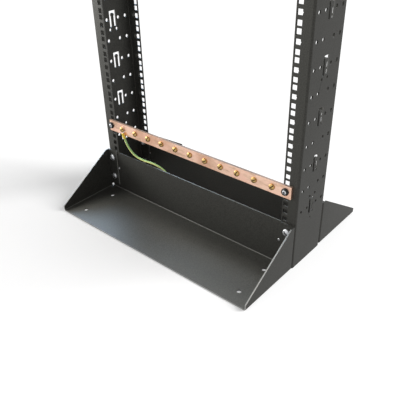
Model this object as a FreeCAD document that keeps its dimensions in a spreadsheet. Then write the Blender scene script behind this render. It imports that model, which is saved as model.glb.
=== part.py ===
import FreeCAD, Part
import math
import os
import Sketcher

# Two post open frame rack, 24 units high, standing between two folded base trays.
# Millimetres. +X runs to the right along the rack's width, +Y to the rear and +Z up.
# The origin is on the floor at the middle of the footprint.

SIZES = {
    "sheet_thickness": 2.5,
    "post_depth": 100.0,
    "post_flange": 32.0,
    "post_bend_inside": 1.5,
    "unit_height": 44.45,
    "unit_count": 24,
    "unit_clearance": 0.925,
    "post_top_margin": 42.0,
    "rail_spacing": 465.1,
    "rail_margin": 24.95,
    "rail_hole": 9.5,
    "rail_nub_reach": 1.2,
    "rail_nub_width": 3.6,
    "web_hole": 7.0,
    "web_inner_offset": 16.0,
    "web_outer_offset": 36.0,
    "slot_width": 17.0,
    "slot_margin": 5.725,
    "slot_cap": 4.5,
    "slot_units": 2,
    "tongue_width": 6.0,
    "tongue_head": 8.5,
    "pair_hole": 6.0,
    "pair_offset": 9.0,
    "pair_units": 5,
    "low_hole": 4.0,
    "low_hole_drop": 5.3,
    "tray_reach": 150.0,
    "tray_wall": 100.0,
    "tray_front": 13.0,
    "tray_crest": 13.5,
    "tray_bend_inside": 2.5,
    "tray_return": 28.5,
    "tray_return_foot": 12.0,
    "corner_relief": 6.0,
    "corner_relief_height": 7.0,
    "anchor_hole": 9.0,
    "anchor_margin": 39.0,
    "anchor_near": 38.0,
    "anchor_far": 118.0,
    "wall_hole": 4.5,
    "wall_hole_margin": 32.5,
    "bolt_diameter": 6.0,
    "bolt_play": 0.5,
    "bolt_margin": 15.5,
    "bolt_rise": 32.0,
    "bolt_drop": 18.0,
    "bolt_head": 15.0,
    "bolt_head_height": 4.5,
    "bolt_tail": 3.0,
    "nut_flats": 10.0,
    "nut_height": 5.0,
    "thread_play": 0.1,
    "top_lip": 40.0,
    "top_gap": 2.0,
    "top_bolt_drop": 20.0,
    "bar_margin": 8.75,
    "bar_height": 25.0,
    "bar_thickness": 5.0,
    "bar_shift": 4.0,
    "bar_unit": 2,
    "terminal_count": 11,
    "terminal_margin": 32.55,
    "terminal_thread": 6.0,
    "terminal_head": 12.0,
    "terminal_head_height": 4.0,
    "terminal_tail": 6.0,
    "cup_diameter": 15.0,
    "cup_rim": 12.5,
    "cup_height": 4.0,
    "cup_seat": 9.0,
    "cup_seat_depth": 3.0,
    "cup_crown": 0.4,
    "cage_width": 12.0,
    "cage_depth": 6.5,
    "cage_play": 0.1,
    "bar_screw_tail": 4.0,
    "ring_width": 12.0,
    "ring_hole_play": 0.15,
    "ring_thickness": 0.8,
    "ring_neck": 4.0,
    "ring_neck_reach": 8.0,
    "ring_lean": 24.0,
    "sleeve_diameter": 6.4,
    "sleeve_mouth": 5.6,
    "sleeve_length": 13.0,
    "sleeve_lift": 0.4,
    "wire_diameter": 4.5,
    "stud_diameter": 6.0,
    "stud_length": 14.0,
    "stud_drop": 54.0,
    "lead_span": 156.0,
    "stud_ring_lean": 37.0,
}

doc = FreeCAD.newDocument("two_post_rack")
sheet = doc.addObject("Spreadsheet::Sheet", "sizes")
for row, (name, value) in enumerate(SIZES.items(), start=1):
    sheet.set(f"A{row}", name)
    sheet.set(f"B{row}", str(value))
    sheet.setAlias(f"B{row}", name)
doc.recompute()

# Formulas that several pieces share
HALF_WIDTH = "(sizes.rail_spacing / 2 + sizes.rail_margin)"
HALF_DEPTH = "sizes.post_depth / 2"
THICK = "sizes.sheet_thickness"
OUTSIDE_BEND = f"sizes.post_bend_inside + {THICK}"
FIRST_UNIT = "(sizes.tray_wall + sizes.unit_clearance)"
FIRST_MIDDLE = f"({FIRST_UNIT} + sizes.unit_height / 2)"
POST_TOP = f"({FIRST_UNIT} + sizes.unit_count * sizes.unit_height + sizes.post_top_margin)"
TOP_BOLT = f"({POST_TOP} - sizes.top_bolt_drop)"
HOLE_STEP = "(sizes.unit_height * 5 / 14)"
SLOT_LENGTH = "(sizes.unit_height - 2 * sizes.slot_margin)"
BOLT_ACROSS = f"({HALF_WIDTH} - sizes.bolt_margin)"
BOLT_HIGH = "(sizes.tray_wall - sizes.bolt_drop)"
BAR_END = "(sizes.rail_spacing / 2 + sizes.bar_margin)"
BAR_MIDDLE = f"({FIRST_UNIT} + (sizes.bar_unit - 1 / 2) * sizes.unit_height)"
BAR_FACE = f"({HALF_DEPTH} + sizes.bar_thickness)"
BOLT_HOLE = "sizes.bolt_diameter + 2 * sizes.bolt_play"
TAPPED_HOLE = "sizes.terminal_thread + 2 * sizes.thread_play"
FIRST_TERMINAL = "(sizes.bar_shift + sizes.terminal_margin - sizes.rail_spacing / 2)"
TERMINAL_PITCH = "((sizes.rail_spacing - 2 * sizes.terminal_margin) / (sizes.terminal_count - 1))"
STUD_ACROSS = f"({FIRST_TERMINAL} + sizes.lead_span)"
STUD_HEIGHT = "(sizes.tray_wall - sizes.stud_drop)"
SIDES = {"left": -1, "right": 1}
ENDS = {"front": -1, "rear": 1}
ACROSS = FreeCAD.Vector(1, 0, 0)
UPRIGHT = FreeCAD.Vector(0, 0, 1)


def number(formula):
    """Value of a formula of the size sheet, in millimetres."""
    return float(sheet.evalExpression(formula))


def vector(across, up):
    return FreeCAD.Vector(number(across), number(up), 0)


def new_body(label):
    body = doc.addObject("PartDesign::Body", label)
    body.Label = label
    return body


def origin_feature(body, role):
    for feature in body.Origin.OriginFeatures:
        if feature.Role == role:
            return feature
    raise ValueError(role)


def sketch_on(body, role, name, lift="0"):
    """New sketch on one of the body's own planes, raised along the plane's normal."""
    sketch = body.newObject("Sketcher::SketchObject", name)
    sketch.AttachmentSupport = [(origin_feature(body, role), "")]
    sketch.MapMode = "FlatFace"
    sketch.setExpression("AttachmentOffset.Base.z", lift)
    return sketch


def pin_point(sketch, edge, end, across, up):
    """Tie one end of a sketch edge, or a circle's centre, to two formulas."""
    for kind, formula in (("DistanceX", across), ("DistanceY", up)):
        place = sketch.addConstraint(Sketcher.Constraint(kind, -1, 1, edge, end, number(formula)))
        sketch.setExpression(f"Constraints[{place}]", formula)


def outline(sketch, corners):
    """Closed outline of straight lines through the corners."""
    first = sketch.GeometryCount
    ends = corners[1:] + corners[:1]
    for corner, following in zip(corners, ends):
        sketch.addGeometry(Part.LineSegment(vector(*corner), vector(*following)))
    for index in range(len(corners)):
        following = (index + 1) % len(corners)
        sketch.addConstraint(Sketcher.Constraint("Coincident", first + index, 2, first + following, 1))
        pin_point(sketch, first + index, 1, *corners[index])


def rectangle(sketch, left, right, low, high):
    outline(sketch, [(left, low), (right, low), (right, high), (left, high)])


def circle(sketch, across, up, diameter):
    radius = number(diameter) / 2
    edge = sketch.addGeometry(Part.Circle(vector(across, up), FreeCAD.Vector(0, 0, 1), radius))
    pin_point(sketch, edge, 3, across, up)
    place = sketch.addConstraint(Sketcher.Constraint("Diameter", edge, 2 * radius))
    sketch.setExpression(f"Constraints[{place}]", diameter)


def pad(body, sketch, length, name, side_type="One side", reverse=False):
    feature = body.newObject("PartDesign::Pad", name)
    feature.Profile = sketch
    feature.SideType = side_type
    feature.Reversed = reverse
    feature.setExpression("Length", length)
    doc.recompute()
    return feature


def cut_through(body, sketch, name):
    """Pocket through everything on both sides of the sketch."""
    before = body.Shape.Volume
    feature = body.newObject("PartDesign::Pocket", name)
    feature.Profile = sketch
    feature.Type = "ThroughAll"
    feature.SideType = "Symmetric"
    doc.recompute()
    if not body.Shape.Volume < before:
        raise RuntimeError(f"{name} removes nothing")
    return feature


def repeat(body, feature, axis, step, count, name):
    """Row of equal copies of a feature along one of the body's axes."""
    pattern = body.newObject("PartDesign::LinearPattern", name)
    pattern.Originals = [feature]
    pattern.Direction = (origin_feature(body, axis), [""])
    pattern.Mode = "Spacing"
    pattern.setExpression("Offset", step)
    pattern.setExpression("Occurrences", count)
    body.Tip = pattern
    doc.recompute()
    return pattern


def edges_where(feature, test):
    names = [f"Edge{index}" for index, edge in enumerate(feature.Shape.Edges, start=1) if test(edge)]
    if not names:
        raise RuntimeError(f"no edges found on {feature.Label}")
    return names


def round_edges(body, base, test, radius, name):
    feature = body.newObject("PartDesign::Fillet", name)
    feature.Base = (base, edges_where(base, test))
    feature.setExpression("Radius", radius)
    doc.recompute()
    return feature


def upright_at(*places):
    """Test for vertical edges that stand over any of the (x, y) places."""
    def test(edge):
        low, high = edge.BoundBox.getPoint(0), edge.BoundBox.getPoint(6)
        if math.hypot(low.x - high.x, low.y - high.y) > 0.01:
            return False
        return any(math.hypot(low.x - x, low.y - y) < 0.01 for x, y in places)
    return test


def facing(piece, across, depth, up, end=-1):
    """Stand a turned or flat piece up so that its own +Z looks to the front, or to the rear."""
    piece.Placement = FreeCAD.Placement(
        FreeCAD.Vector(0, 0, 0), FreeCAD.Rotation(FreeCAD.Vector(1, 0, 0), -90 * end))
    piece.setExpression("Placement.Base.x", across)
    piece.setExpression("Placement.Base.y", depth)
    piece.setExpression("Placement.Base.z", up)
    return piece


def turned(label, profile):
    """Piece turned about its own Z from a half profile of (radius, height) corners."""
    body = new_body(label)
    sketch = sketch_on(body, "XZ_Plane", "half_profile")
    outline(sketch, profile)
    turn = body.newObject("PartDesign::Revolution", "turn")
    turn.Profile = sketch
    turn.ReferenceAxis = (sketch, ["V_Axis"])
    turn.Angle = 360
    return body


def mirrored(label, source, normal):
    """Mirror image of a piece in the plane through the origin with that normal."""
    piece = doc.addObject("Part::Mirroring", label)
    piece.Label = label
    piece.Source = source
    piece.Normal = normal
    return piece


def group(label, members):
    piece = doc.addObject("Part::Compound", label)
    piece.Label = label
    piece.Links = members
    return piece


def half_turned(label, source):
    """The same piece turned half a turn about the upright axis of the rack."""
    piece = group(label, [source])
    piece.Placement = FreeCAD.Placement(FreeCAD.Vector(0, 0, 0), FreeCAD.Rotation(UPRIGHT, 180))
    return piece


# Posts: folded channels that open towards each other

def add_rail_holes(body):
    """Three square holes to a unit in both flanges, the middle one with a small nub."""
    sketch = sketch_on(body, "XZ_Plane", "rail_holes_of_one_unit")
    middle = "-sizes.rail_spacing / 2"
    inner = f"{middle} + sizes.rail_hole / 2"
    outer = f"{middle} - sizes.rail_hole / 2"
    for row in (-1, 0, 1):
        height = f"{FIRST_MIDDLE} + {row} * {HOLE_STEP}"
        low = f"{height} - sizes.rail_hole / 2"
        high = f"{height} + sizes.rail_hole / 2"
        corners = [(inner, low), (outer, low), (outer, high), (inner, high)]
        if row == 0:
            nub = [(outer, f"{height} - sizes.rail_nub_width / 2"),
                   (f"{outer} - sizes.rail_nub_reach", height),
                   (outer, f"{height} + sizes.rail_nub_width / 2")]
            corners[2:2] = nub
        outline(sketch, corners)
    holes = cut_through(body, sketch, "rail_holes")
    repeat(body, holes, "Z_Axis", "sizes.unit_height", "sizes.unit_count", "rail_hole_rows")


def add_web_holes(body):
    """Four round holes to a unit, and pairs of smaller ones at some unit lines."""
    sketch = sketch_on(body, "YZ_Plane", "web_holes_of_one_unit")
    for offset in ("sizes.web_outer_offset", "sizes.web_inner_offset"):
        for end in (-1, 1):
            circle(sketch, f"{end} * {offset}", FIRST_MIDDLE, "sizes.web_hole")
    holes = cut_through(body, sketch, "web_holes")
    repeat(body, holes, "Z_Axis", "sizes.unit_height", "sizes.unit_count", "web_hole_rows")
    sketch = sketch_on(body, "YZ_Plane", "pair_at_first_unit_line")
    for end in (-1, 1):
        circle(sketch, f"{end} * sizes.pair_offset", f"{FIRST_UNIT} + sizes.unit_height", "sizes.pair_hole")
    pair = cut_through(body, sketch, "pair_holes")
    repeat(body, pair, "Z_Axis", "sizes.pair_units * sizes.unit_height",
           "floor((sizes.unit_count - 1) / sizes.pair_units) + 1", "pair_hole_rows")
    sketch = sketch_on(body, "YZ_Plane", "low_hole_sketch")
    circle(sketch, "0", f"{FIRST_UNIT} - sizes.low_hole_drop", "sizes.low_hole")
    cut_through(body, sketch, "low_hole_cut")


def add_tongue_slots(body):
    """Upside-down U slots that leave a round-headed tongue, for cable ties."""
    sketch = sketch_on(body, "YZ_Plane", "tongue_slot")
    half = number("sizes.slot_width / 2")
    stem = number("sizes.tongue_width / 2")
    head = number("sizes.tongue_head / 2")
    low = number(f"{FIRST_MIDDLE} - {SLOT_LENGTH} / 2")
    high = number(f"{FIRST_MIDDLE} + {SLOT_LENGTH} / 2")
    centre = number(f"{FIRST_MIDDLE} + {SLOT_LENGTH} / 2 - sizes.slot_cap - sizes.tongue_head / 2")
    shoulder = centre - math.sqrt(head ** 2 - stem ** 2)
    path = [(stem, shoulder), (stem, low), (half, low), (half, high),
            (-half, high), (-half, low), (-stem, low), (-stem, shoulder)]
    points = [FreeCAD.Vector(across, up, 0) for across, up in path]
    for start, end in zip(points, points[1:]):
        sketch.addGeometry(Part.LineSegment(start, end))
    head_edge = sketch.addGeometry(Part.Arc(points[-1], FreeCAD.Vector(0, centre + head, 0), points[0]))
    sides = sketch.GeometryCount - 1
    for index in range(sides - 1):
        sketch.addConstraint(Sketcher.Constraint("Coincident", index, 2, index + 1, 1))
    joints = [(sides - 1, 2, head_edge, 2), (head_edge, 1, 0, 1)]
    for joint in joints:
        sketch.addConstraint(Sketcher.Constraint("Coincident", *joint))
    level = f"{FIRST_MIDDLE} - {SLOT_LENGTH} / 2"
    crown = f"{FIRST_MIDDLE} + {SLOT_LENGTH} / 2"
    pin_point(sketch, 1, 1, "sizes.tongue_width / 2", level)
    pin_point(sketch, 2, 1, "sizes.slot_width / 2", level)
    pin_point(sketch, 3, 1, "sizes.slot_width / 2", crown)
    pin_point(sketch, 4, 1, "-sizes.slot_width / 2", crown)
    pin_point(sketch, 5, 1, "-sizes.slot_width / 2", level)
    pin_point(sketch, 6, 1, "-sizes.tongue_width / 2", level)
    pin_point(sketch, head_edge, 3, "0", f"{crown} - sizes.slot_cap - sizes.tongue_head / 2")
    sketch.addConstraint(Sketcher.Constraint("Vertical", 0))
    sketch.addConstraint(Sketcher.Constraint("Vertical", sides - 1))
    place = sketch.addConstraint(Sketcher.Constraint("Diameter", head_edge, 2 * head))
    sketch.setExpression(f"Constraints[{place}]", "sizes.tongue_head")
    slots = cut_through(body, sketch, "tongue_slots")
    repeat(body, slots, "Z_Axis", "sizes.slot_units * sizes.unit_height",
           "floor((sizes.unit_count - 1) / sizes.slot_units) + 1", "tongue_slot_rows")


def add_flange_bolt_holes(body):
    """Bolt holes in both flanges for the base trays and the top crosspiece."""
    sketch = sketch_on(body, "XZ_Plane", "flange_bolt_holes_sketch")
    for height in ("sizes.bolt_rise", BOLT_HIGH, TOP_BOLT):
        circle(sketch, f"-{BOLT_ACROSS}", height, BOLT_HOLE)
    cut_through(body, sketch, "flange_bolt_holes")


def make_post(label):
    """The left post; the right one is its mirror image."""
    body = new_body(label)
    web_out = f"-{HALF_WIDTH}"
    web_in = f"-({HALF_WIDTH} - {THICK})"
    tip = f"-({HALF_WIDTH} - sizes.post_flange)"
    front, rear = f"-{HALF_DEPTH}", HALF_DEPTH
    front_in, rear_in = f"-({HALF_DEPTH} - {THICK})", f"{HALF_DEPTH} - {THICK}"
    sketch = sketch_on(body, "XY_Plane", "channel_section")
    outline(sketch, [(tip, front), (web_out, front), (web_out, rear), (tip, rear),
                     (tip, rear_in), (web_in, rear_in), (web_in, front_in), (tip, front_in)])
    channel = pad(body, sketch, POST_TOP, "channel")
    outer = [(number(web_out), number(front)), (number(web_out), number(rear))]
    inner = [(number(web_in), number(front_in)), (number(web_in), number(rear_in))]
    bend = round_edges(body, channel, upright_at(*outer), OUTSIDE_BEND, "outside_bends")
    round_edges(body, bend, upright_at(*inner), "sizes.post_bend_inside", "inside_bends")
    add_rail_holes(body)
    add_web_holes(body)
    add_tongue_slots(body)
    add_flange_bolt_holes(body)
    return body


# Base trays: one folded sheet each, with a wall against the posts and two sloped gussets

def folds_of_tray(half_width, back, floor):
    """Test for the edges where the floor, the wall and the gussets of a tray meet."""
    def test(edge):
        box = edge.BoundBox
        on_side = abs(abs(box.Center.x) - half_width) < 0.01
        on_floor = box.ZLength < 0.01 and abs(box.Center.z - floor) < 0.01
        on_wall = box.YLength < 0.01 and abs(box.Center.y - back) < 0.01
        return (on_side and on_floor) or (on_side and on_wall) or (on_floor and on_wall)
    return test


def make_tray(label):
    """The front tray; the rear one is the same piece turned half a turn."""
    body = new_body(label)
    wall_back = f"-{HALF_DEPTH}"
    wall_face = f"-({HALF_DEPTH} + {THICK})"
    crest = f"-({HALF_DEPTH} + sizes.tray_crest)"
    tip = f"-({HALF_DEPTH} + sizes.tray_reach)"
    sketch = sketch_on(body, "YZ_Plane", "side_outline")
    outline(sketch, [(wall_back, "0"), (tip, "0"), (tip, "sizes.tray_front"),
                     (crest, "sizes.tray_wall"), (wall_back, "sizes.tray_wall")])
    block = pad(body, sketch, f"2 * {HALF_WIDTH}", "folded_outside", "Symmetric")
    outside = folds_of_tray(number(HALF_WIDTH), number(wall_back), 0)
    rounded = round_edges(body, block, outside, f"sizes.tray_bend_inside + {THICK}", "outside_folds")
    sketch = sketch_on(body, "YZ_Plane", "inside_outline")
    rectangle(sketch, f"-({HALF_DEPTH} + 2 * sizes.tray_reach)", wall_face, THICK, "2 * sizes.tray_wall")
    hollow = body.newObject("PartDesign::Pocket", "hollow")
    hollow.Profile = sketch
    hollow.SideType = "Symmetric"
    hollow.setExpression("Length", f"2 * ({HALF_WIDTH} - {THICK})")
    doc.recompute()
    if not hollow.Shape.Volume < rounded.Shape.Volume:
        raise RuntimeError("the tray is not hollow")
    inside = folds_of_tray(number(f"{HALF_WIDTH} - {THICK}"), number(wall_face), number(THICK))
    round_edges(body, hollow, inside, "sizes.tray_bend_inside", "inside_folds")
    add_tray_returns(body)
    add_tray_holes(body)
    return body


def add_tray_returns(body):
    """Flanges folded in from the gussets, which lie on the wall's ends."""
    sketch = sketch_on(body, "XZ_Plane", "gusset_returns_sketch", f"{HALF_DEPTH} + {THICK}")
    for side in (-1, 1):
        inner = f"{side} * ({HALF_WIDTH} - sizes.tray_return)"
        outer = f"{side} * ({HALF_WIDTH} - {THICK})"
        rectangle(sketch, inner, outer, "sizes.tray_return_foot", "sizes.tray_wall")
    pad(body, sketch, THICK, "gusset_returns")


def add_tray_holes(body):
    """Floor anchor holes, wall bolt holes, a small wall hole and the corner reliefs."""
    sketch = sketch_on(body, "XY_Plane", "floor_holes_sketch")
    for side in (-1, 1):
        for reach in ("sizes.anchor_near", "sizes.anchor_far"):
            across = f"{side} * ({HALF_WIDTH} - sizes.anchor_margin)"
            circle(sketch, across, f"-({HALF_DEPTH} + {reach})", "sizes.anchor_hole")
    cut_through(body, sketch, "floor_holes")
    sketch = sketch_on(body, "XZ_Plane", "wall_holes_sketch")
    for side in (-1, 1):
        for height in ("sizes.bolt_rise", BOLT_HIGH):
            circle(sketch, f"{side} * {BOLT_ACROSS}", height, BOLT_HOLE)
        between = f"(sizes.bolt_rise + {BOLT_HIGH}) / 2"
        circle(sketch, f"{side} * ({HALF_WIDTH} - sizes.wall_hole_margin)", between, "sizes.wall_hole")
    cut_through(body, sketch, "wall_holes")
    sketch = sketch_on(body, "XY_Plane", "corner_reliefs_sketch")
    for side in (-1, 1):
        across = f"{side} * ({HALF_WIDTH} - {THICK})"
        circle(sketch, across, f"-({HALF_DEPTH} + {THICK})", "sizes.corner_relief")
    before = body.Shape.Volume
    relief = body.newObject("PartDesign::Pocket", "corner_reliefs")
    relief.Profile = sketch
    relief.Reversed = True
    relief.setExpression("Length", "sizes.corner_relief_height")
    doc.recompute()
    if not body.Shape.Volume < before:
        raise RuntimeError("the corner reliefs remove nothing")


# Top crosspiece: a channel over the post tops, with its lips bolted on the flanges

def make_crosspiece(label):
    body = new_body(label)
    inside = f"({POST_TOP} + sizes.top_gap)"
    low = f"({inside} + {THICK} - sizes.top_lip)"
    sketch = sketch_on(body, "YZ_Plane", "channel_section")
    out_y = f"({HALF_DEPTH} + {THICK})"
    outline(sketch, [(f"-{out_y}", low), (f"-({HALF_DEPTH})", low), (f"-({HALF_DEPTH})", inside),
                     (HALF_DEPTH, inside), (HALF_DEPTH, low), (out_y, low),
                     (out_y, f"{inside} + {THICK}"), (f"-{out_y}", f"{inside} + {THICK}")])
    channel = pad(body, sketch, f"2 * {HALF_WIDTH}", "channel", "Symmetric")
    top, side = number(f"{inside} + {THICK}"), number(out_y)
    under, half_depth = number(inside), number(HALF_DEPTH)

    def along_rack(depth, height):
        def test(edge):
            box = edge.BoundBox
            level = abs(box.Center.z - height) < 0.01 and box.ZLength < 0.01
            return level and box.XLength > 1 and abs(abs(box.Center.y) - depth) < 0.01
        return test

    bend = round_edges(body, channel, along_rack(side, top), OUTSIDE_BEND, "outside_bends")
    round_edges(body, bend, along_rack(half_depth, under), "sizes.post_bend_inside", "inside_bends")
    sketch = sketch_on(body, "XZ_Plane", "lip_bolt_holes_sketch")
    for end in (-1, 1):
        circle(sketch, f"{end} * {BOLT_ACROSS}", TOP_BOLT, BOLT_HOLE)
    cut_through(body, sketch, "lip_bolt_holes")
    return body


# Earth bar: a flat bar with tapped holes along its middle and a fixing hole at each end

def make_bar(label):
    body = new_body(label)
    sketch = sketch_on(body, "XZ_Plane", "bar_outline", HALF_DEPTH)
    rectangle(sketch, f"sizes.bar_shift - {BAR_END}", f"sizes.bar_shift + {BAR_END}",
              f"{BAR_MIDDLE} - sizes.bar_height / 2", f"{BAR_MIDDLE} + sizes.bar_height / 2")
    for end in (-1, 1):
        circle(sketch, f"{end} * sizes.rail_spacing / 2", BAR_MIDDLE, BOLT_HOLE)
    pad(body, sketch, "sizes.bar_thickness", "flat_bar")
    sketch = sketch_on(body, "XZ_Plane", "first_tapped_hole")
    circle(sketch, FIRST_TERMINAL, BAR_MIDDLE, TAPPED_HOLE)
    hole = cut_through(body, sketch, "tapped_hole")
    repeat(body, hole, "X_Axis", TERMINAL_PITCH, "sizes.terminal_count", "tapped_hole_row")
    return body


# Screws, bolts, nuts and washers, each turned or cut about its own axis

# Corners of a round screw head above its seat, in shares of the head's radius and height
HEAD_PROFILE = [(1, 0), (1, 0.55), (0.88, 0.85), (0.6, 1), (0, 1)]


def screw(label, shank, head, head_height, length):
    """Round-headed screw: its head sits on z = 0 and its shank runs down from there."""
    profile = [("0", f"-({length})"), (f"{shank} / 2", f"-({length})"), (f"{shank} / 2", "0")]
    for out, up in HEAD_PROFILE:
        profile.append((f"{head} / 2 * {out}", f"{head_height} * {up}"))
    return turned(label, profile)


def nut(label, across, depth, up, end):
    """Six-sided nut whose seat lies at the given depth."""
    body = doc.addObject("Part::Prism", f"{label}_blank")
    body.Polygon = 6
    body.setExpression("Circumradius", "sizes.nut_flats / sqrt(3)")
    body.setExpression("Height", "sizes.nut_height")
    bore = doc.addObject("Part::Cylinder", f"{label}_bore")
    bore.setExpression("Radius", "sizes.bolt_diameter / 2 + sizes.thread_play")
    bore.setExpression("Height", "sizes.nut_height")
    piece = doc.addObject("Part::Cut", label)
    piece.Base = body
    piece.Tool = bore
    return facing(piece, across, depth, up, end)


def bolts_and_nuts(name, side, end, heights):
    """Bolts through a folded sheet and a post flange, and the nuts behind them."""
    across = f"{side} * {BOLT_ACROSS}"
    bolts, nuts = [], []
    for index, (height, clamped) in enumerate(heights, start=1):
        seat = f"{end} * ({HALF_DEPTH} + {clamped})"
        behind = f"{end} * ({HALF_DEPTH} - {THICK})"
        length = f"{clamped} + {THICK} + sizes.nut_height + sizes.bolt_tail"
        bolt = screw(f"{name}_bolt_{index}", "sizes.bolt_diameter", "sizes.bolt_head",
                     "sizes.bolt_head_height", length)
        bolts.append(facing(bolt, across, seat, height, end))
        nuts.append(nut(f"{name}_nut_{index}", across, behind, height, -end))
    return bolts, nuts


def make_fixings():
    """Bolts and nuts of the four tray corners and of the top crosspiece."""
    pieces = []
    for side_name, side in SIDES.items():
        top_bolts, top_nuts = [], []
        for end_name, end in ENDS.items():
            corner = f"{end_name}_{side_name}"
            in_tray = [("sizes.bolt_rise", f"2 * {THICK}"), (BOLT_HIGH, f"2 * {THICK}")]
            bolts, nuts = bolts_and_nuts(f"{corner}_tray", side, end, in_tray)
            pieces.append(group(f"{corner}_tray_bolts", bolts))
            pieces.append(group(f"{corner}_tray_nuts", nuts))
            bolts, nuts = bolts_and_nuts(f"{corner}_top", side, end, [(TOP_BOLT, THICK)])
            top_bolts += bolts
            top_nuts += nuts
        pieces.append(group(f"{side_name}_top_bolts", top_bolts))
        pieces.append(group(f"{side_name}_top_nuts", top_nuts))
    return pieces


def make_bar_fixing(name, side):
    """Screw in a cup washer through one end of the bar, into a cage nut in the rail."""
    across = f"{side} * sizes.rail_spacing / 2"
    hole = "sizes.bolt_diameter / 2 + sizes.bolt_play"
    seat = "sizes.cup_height - sizes.cup_seat_depth"
    cup = turned(f"{name}_cup_washer", [(hole, "0"), ("sizes.cup_diameter / 2", "0"),
                                        ("sizes.cup_rim / 2", "sizes.cup_height"),
                                        ("sizes.cup_seat / 2", "sizes.cup_height"), (hole, seat)])
    facing(cup, across, f"-{BAR_FACE}", BAR_MIDDLE)
    shank = "sizes.bolt_diameter / 2"
    tail = f"-(sizes.bar_thickness + {THICK} + sizes.cage_depth + sizes.bar_screw_tail)"
    head = turned(f"{name}_bar_screw", [("0", tail), (shank, tail), (shank, seat),
                                        (hole, seat), ("sizes.cup_seat / 2", "sizes.cup_height"),
                                        ("sizes.cup_seat / 4", "sizes.cup_height + sizes.cup_crown"),
                                        ("0", "sizes.cup_height + sizes.cup_crown")])
    facing(head, across, f"-{BAR_FACE}", BAR_MIDDLE)
    cage = new_body(f"{name}_cage_nut")
    bore = "sizes.bolt_diameter + 2 * sizes.thread_play"
    boss = "sizes.rail_hole / 2 - sizes.cage_play"
    sketch = sketch_on(cage, "XZ_Plane", "cage_outline", f"{HALF_DEPTH} - {THICK}")
    rectangle(sketch, f"{across} - sizes.cage_width / 2", f"{across} + sizes.cage_width / 2",
              f"{BAR_MIDDLE} - sizes.cage_width / 2", f"{BAR_MIDDLE} + sizes.cage_width / 2")
    pad(cage, sketch, "sizes.cage_depth", "cage", reverse=True)
    sketch = sketch_on(cage, "XZ_Plane", "boss_outline", f"{HALF_DEPTH} - {THICK}")
    rectangle(sketch, f"{across} - ({boss})", f"{across} + {boss}",
              f"{BAR_MIDDLE} - ({boss})", f"{BAR_MIDDLE} + {boss}")
    pad(cage, sketch, f"{THICK} - sizes.cage_play", "boss")
    sketch = sketch_on(cage, "XZ_Plane", "nut_bore_sketch")
    circle(sketch, across, BAR_MIDDLE, bore)
    cut_through(cage, sketch, "nut_bore")
    return [cup, head, cage]


def make_terminals():
    """Row of terminal screws; the first one sits on the earth lead's ring."""
    pieces = []
    for index in range(int(number("sizes.terminal_count"))):
        length = "sizes.bar_thickness + sizes.terminal_tail"
        piece = screw(f"terminal_screw_{index + 1:02d}", "sizes.terminal_thread", "sizes.terminal_head",
                      "sizes.terminal_head_height", length)
        lift = " + sizes.ring_thickness" if index == 0 else ""
        across = f"{FIRST_TERMINAL} + {index} * {TERMINAL_PITCH}"
        pieces.append(facing(piece, across, f"-({BAR_FACE}{lift})", BAR_MIDDLE))
    return pieces


# Earth lead: ring terminals with sleeves, the wire between them and its stud on the tray wall

def lead_end(reach, end):
    """Formulas of a point on a ring terminal's centre line, measured from its screw."""
    if end < 0:
        across, up, lean = FIRST_TERMINAL, BAR_MIDDLE, "sizes.ring_lean"
        depth = f"-({BAR_FACE} + sizes.sleeve_lift + sizes.sleeve_diameter / 2)"
    else:
        across, up, lean = STUD_ACROSS, STUD_HEIGHT, "sizes.stud_ring_lean"
        depth = f"-{HALF_DEPTH} + sizes.sleeve_lift + sizes.sleeve_diameter / 2"
    return (f"{across} - {end} * ({reach}) * sin({lean})", depth, f"{up} + {end} * ({reach}) * cos({lean})")


def ring_terminal(label, hole, end):
    """Flat ring with a neck, laid on the bar's face or on the tray wall's back."""
    body = new_body(label)
    sketch = sketch_on(body, "XY_Plane", "ring_outline")
    circle(sketch, "0", "0", "sizes.ring_width")
    circle(sketch, "0", "0", hole)
    pad(body, sketch, "sizes.ring_thickness", "ring")
    sketch = sketch_on(body, "XY_Plane", "neck_outline")
    half_neck = "sizes.ring_neck / 2"
    rectangle(sketch, f"-{half_neck}", half_neck, "-sizes.ring_neck_reach",
              f"-({hole} + sizes.ring_width) / 4")
    pad(body, sketch, "sizes.ring_thickness", "neck")
    lean = "sizes.ring_lean" if end < 0 else "sizes.stud_ring_lean"
    flat = FreeCAD.Rotation(FreeCAD.Vector(1, 0, 0), -90 * end)
    tilt = FreeCAD.Rotation(FreeCAD.Vector(0, 1, 0), -number(lean))
    body.Placement = FreeCAD.Placement(FreeCAD.Vector(0, 0, 0), tilt.multiply(flat))
    across, _, up = lead_end("0", end)
    body.setExpression("Placement.Base.x", across)
    body.setExpression("Placement.Base.y", f"-({BAR_FACE})" if end < 0 else f"-{HALF_DEPTH}")
    body.setExpression("Placement.Base.z", up)
    return body


# Where a sleeve starts and stops widening, in shares of its length
SLEEVE_TAPER = (0.45, 0.6)


def lead_sleeve(label, end):
    """Insulated barrel of a ring terminal, wider where the wire goes in."""
    mouth = "sizes.sleeve_mouth / 2"
    full = "sizes.sleeve_diameter / 2"
    neck_end, bell_start = (f"sizes.sleeve_length * {share}" for share in SLEEVE_TAPER)
    body = turned(label, [("0", "0"), (mouth, "0"), (mouth, neck_end), (full, bell_start),
                          (full, "sizes.sleeve_length"), ("0", "sizes.sleeve_length")])
    lean = number("sizes.ring_lean" if end < 0 else "sizes.stud_ring_lean")
    turn = 180 - lean if end < 0 else -lean
    about_depth = FreeCAD.Rotation(FreeCAD.Vector(0, 1, 0), turn)
    body.Placement = FreeCAD.Placement(FreeCAD.Vector(0, 0, 0), about_depth)
    for axis, formula in zip("xyz", lead_end("sizes.ring_neck_reach", end)):
        body.setExpression(f"Placement.Base.{axis}", formula)
    return body


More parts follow.
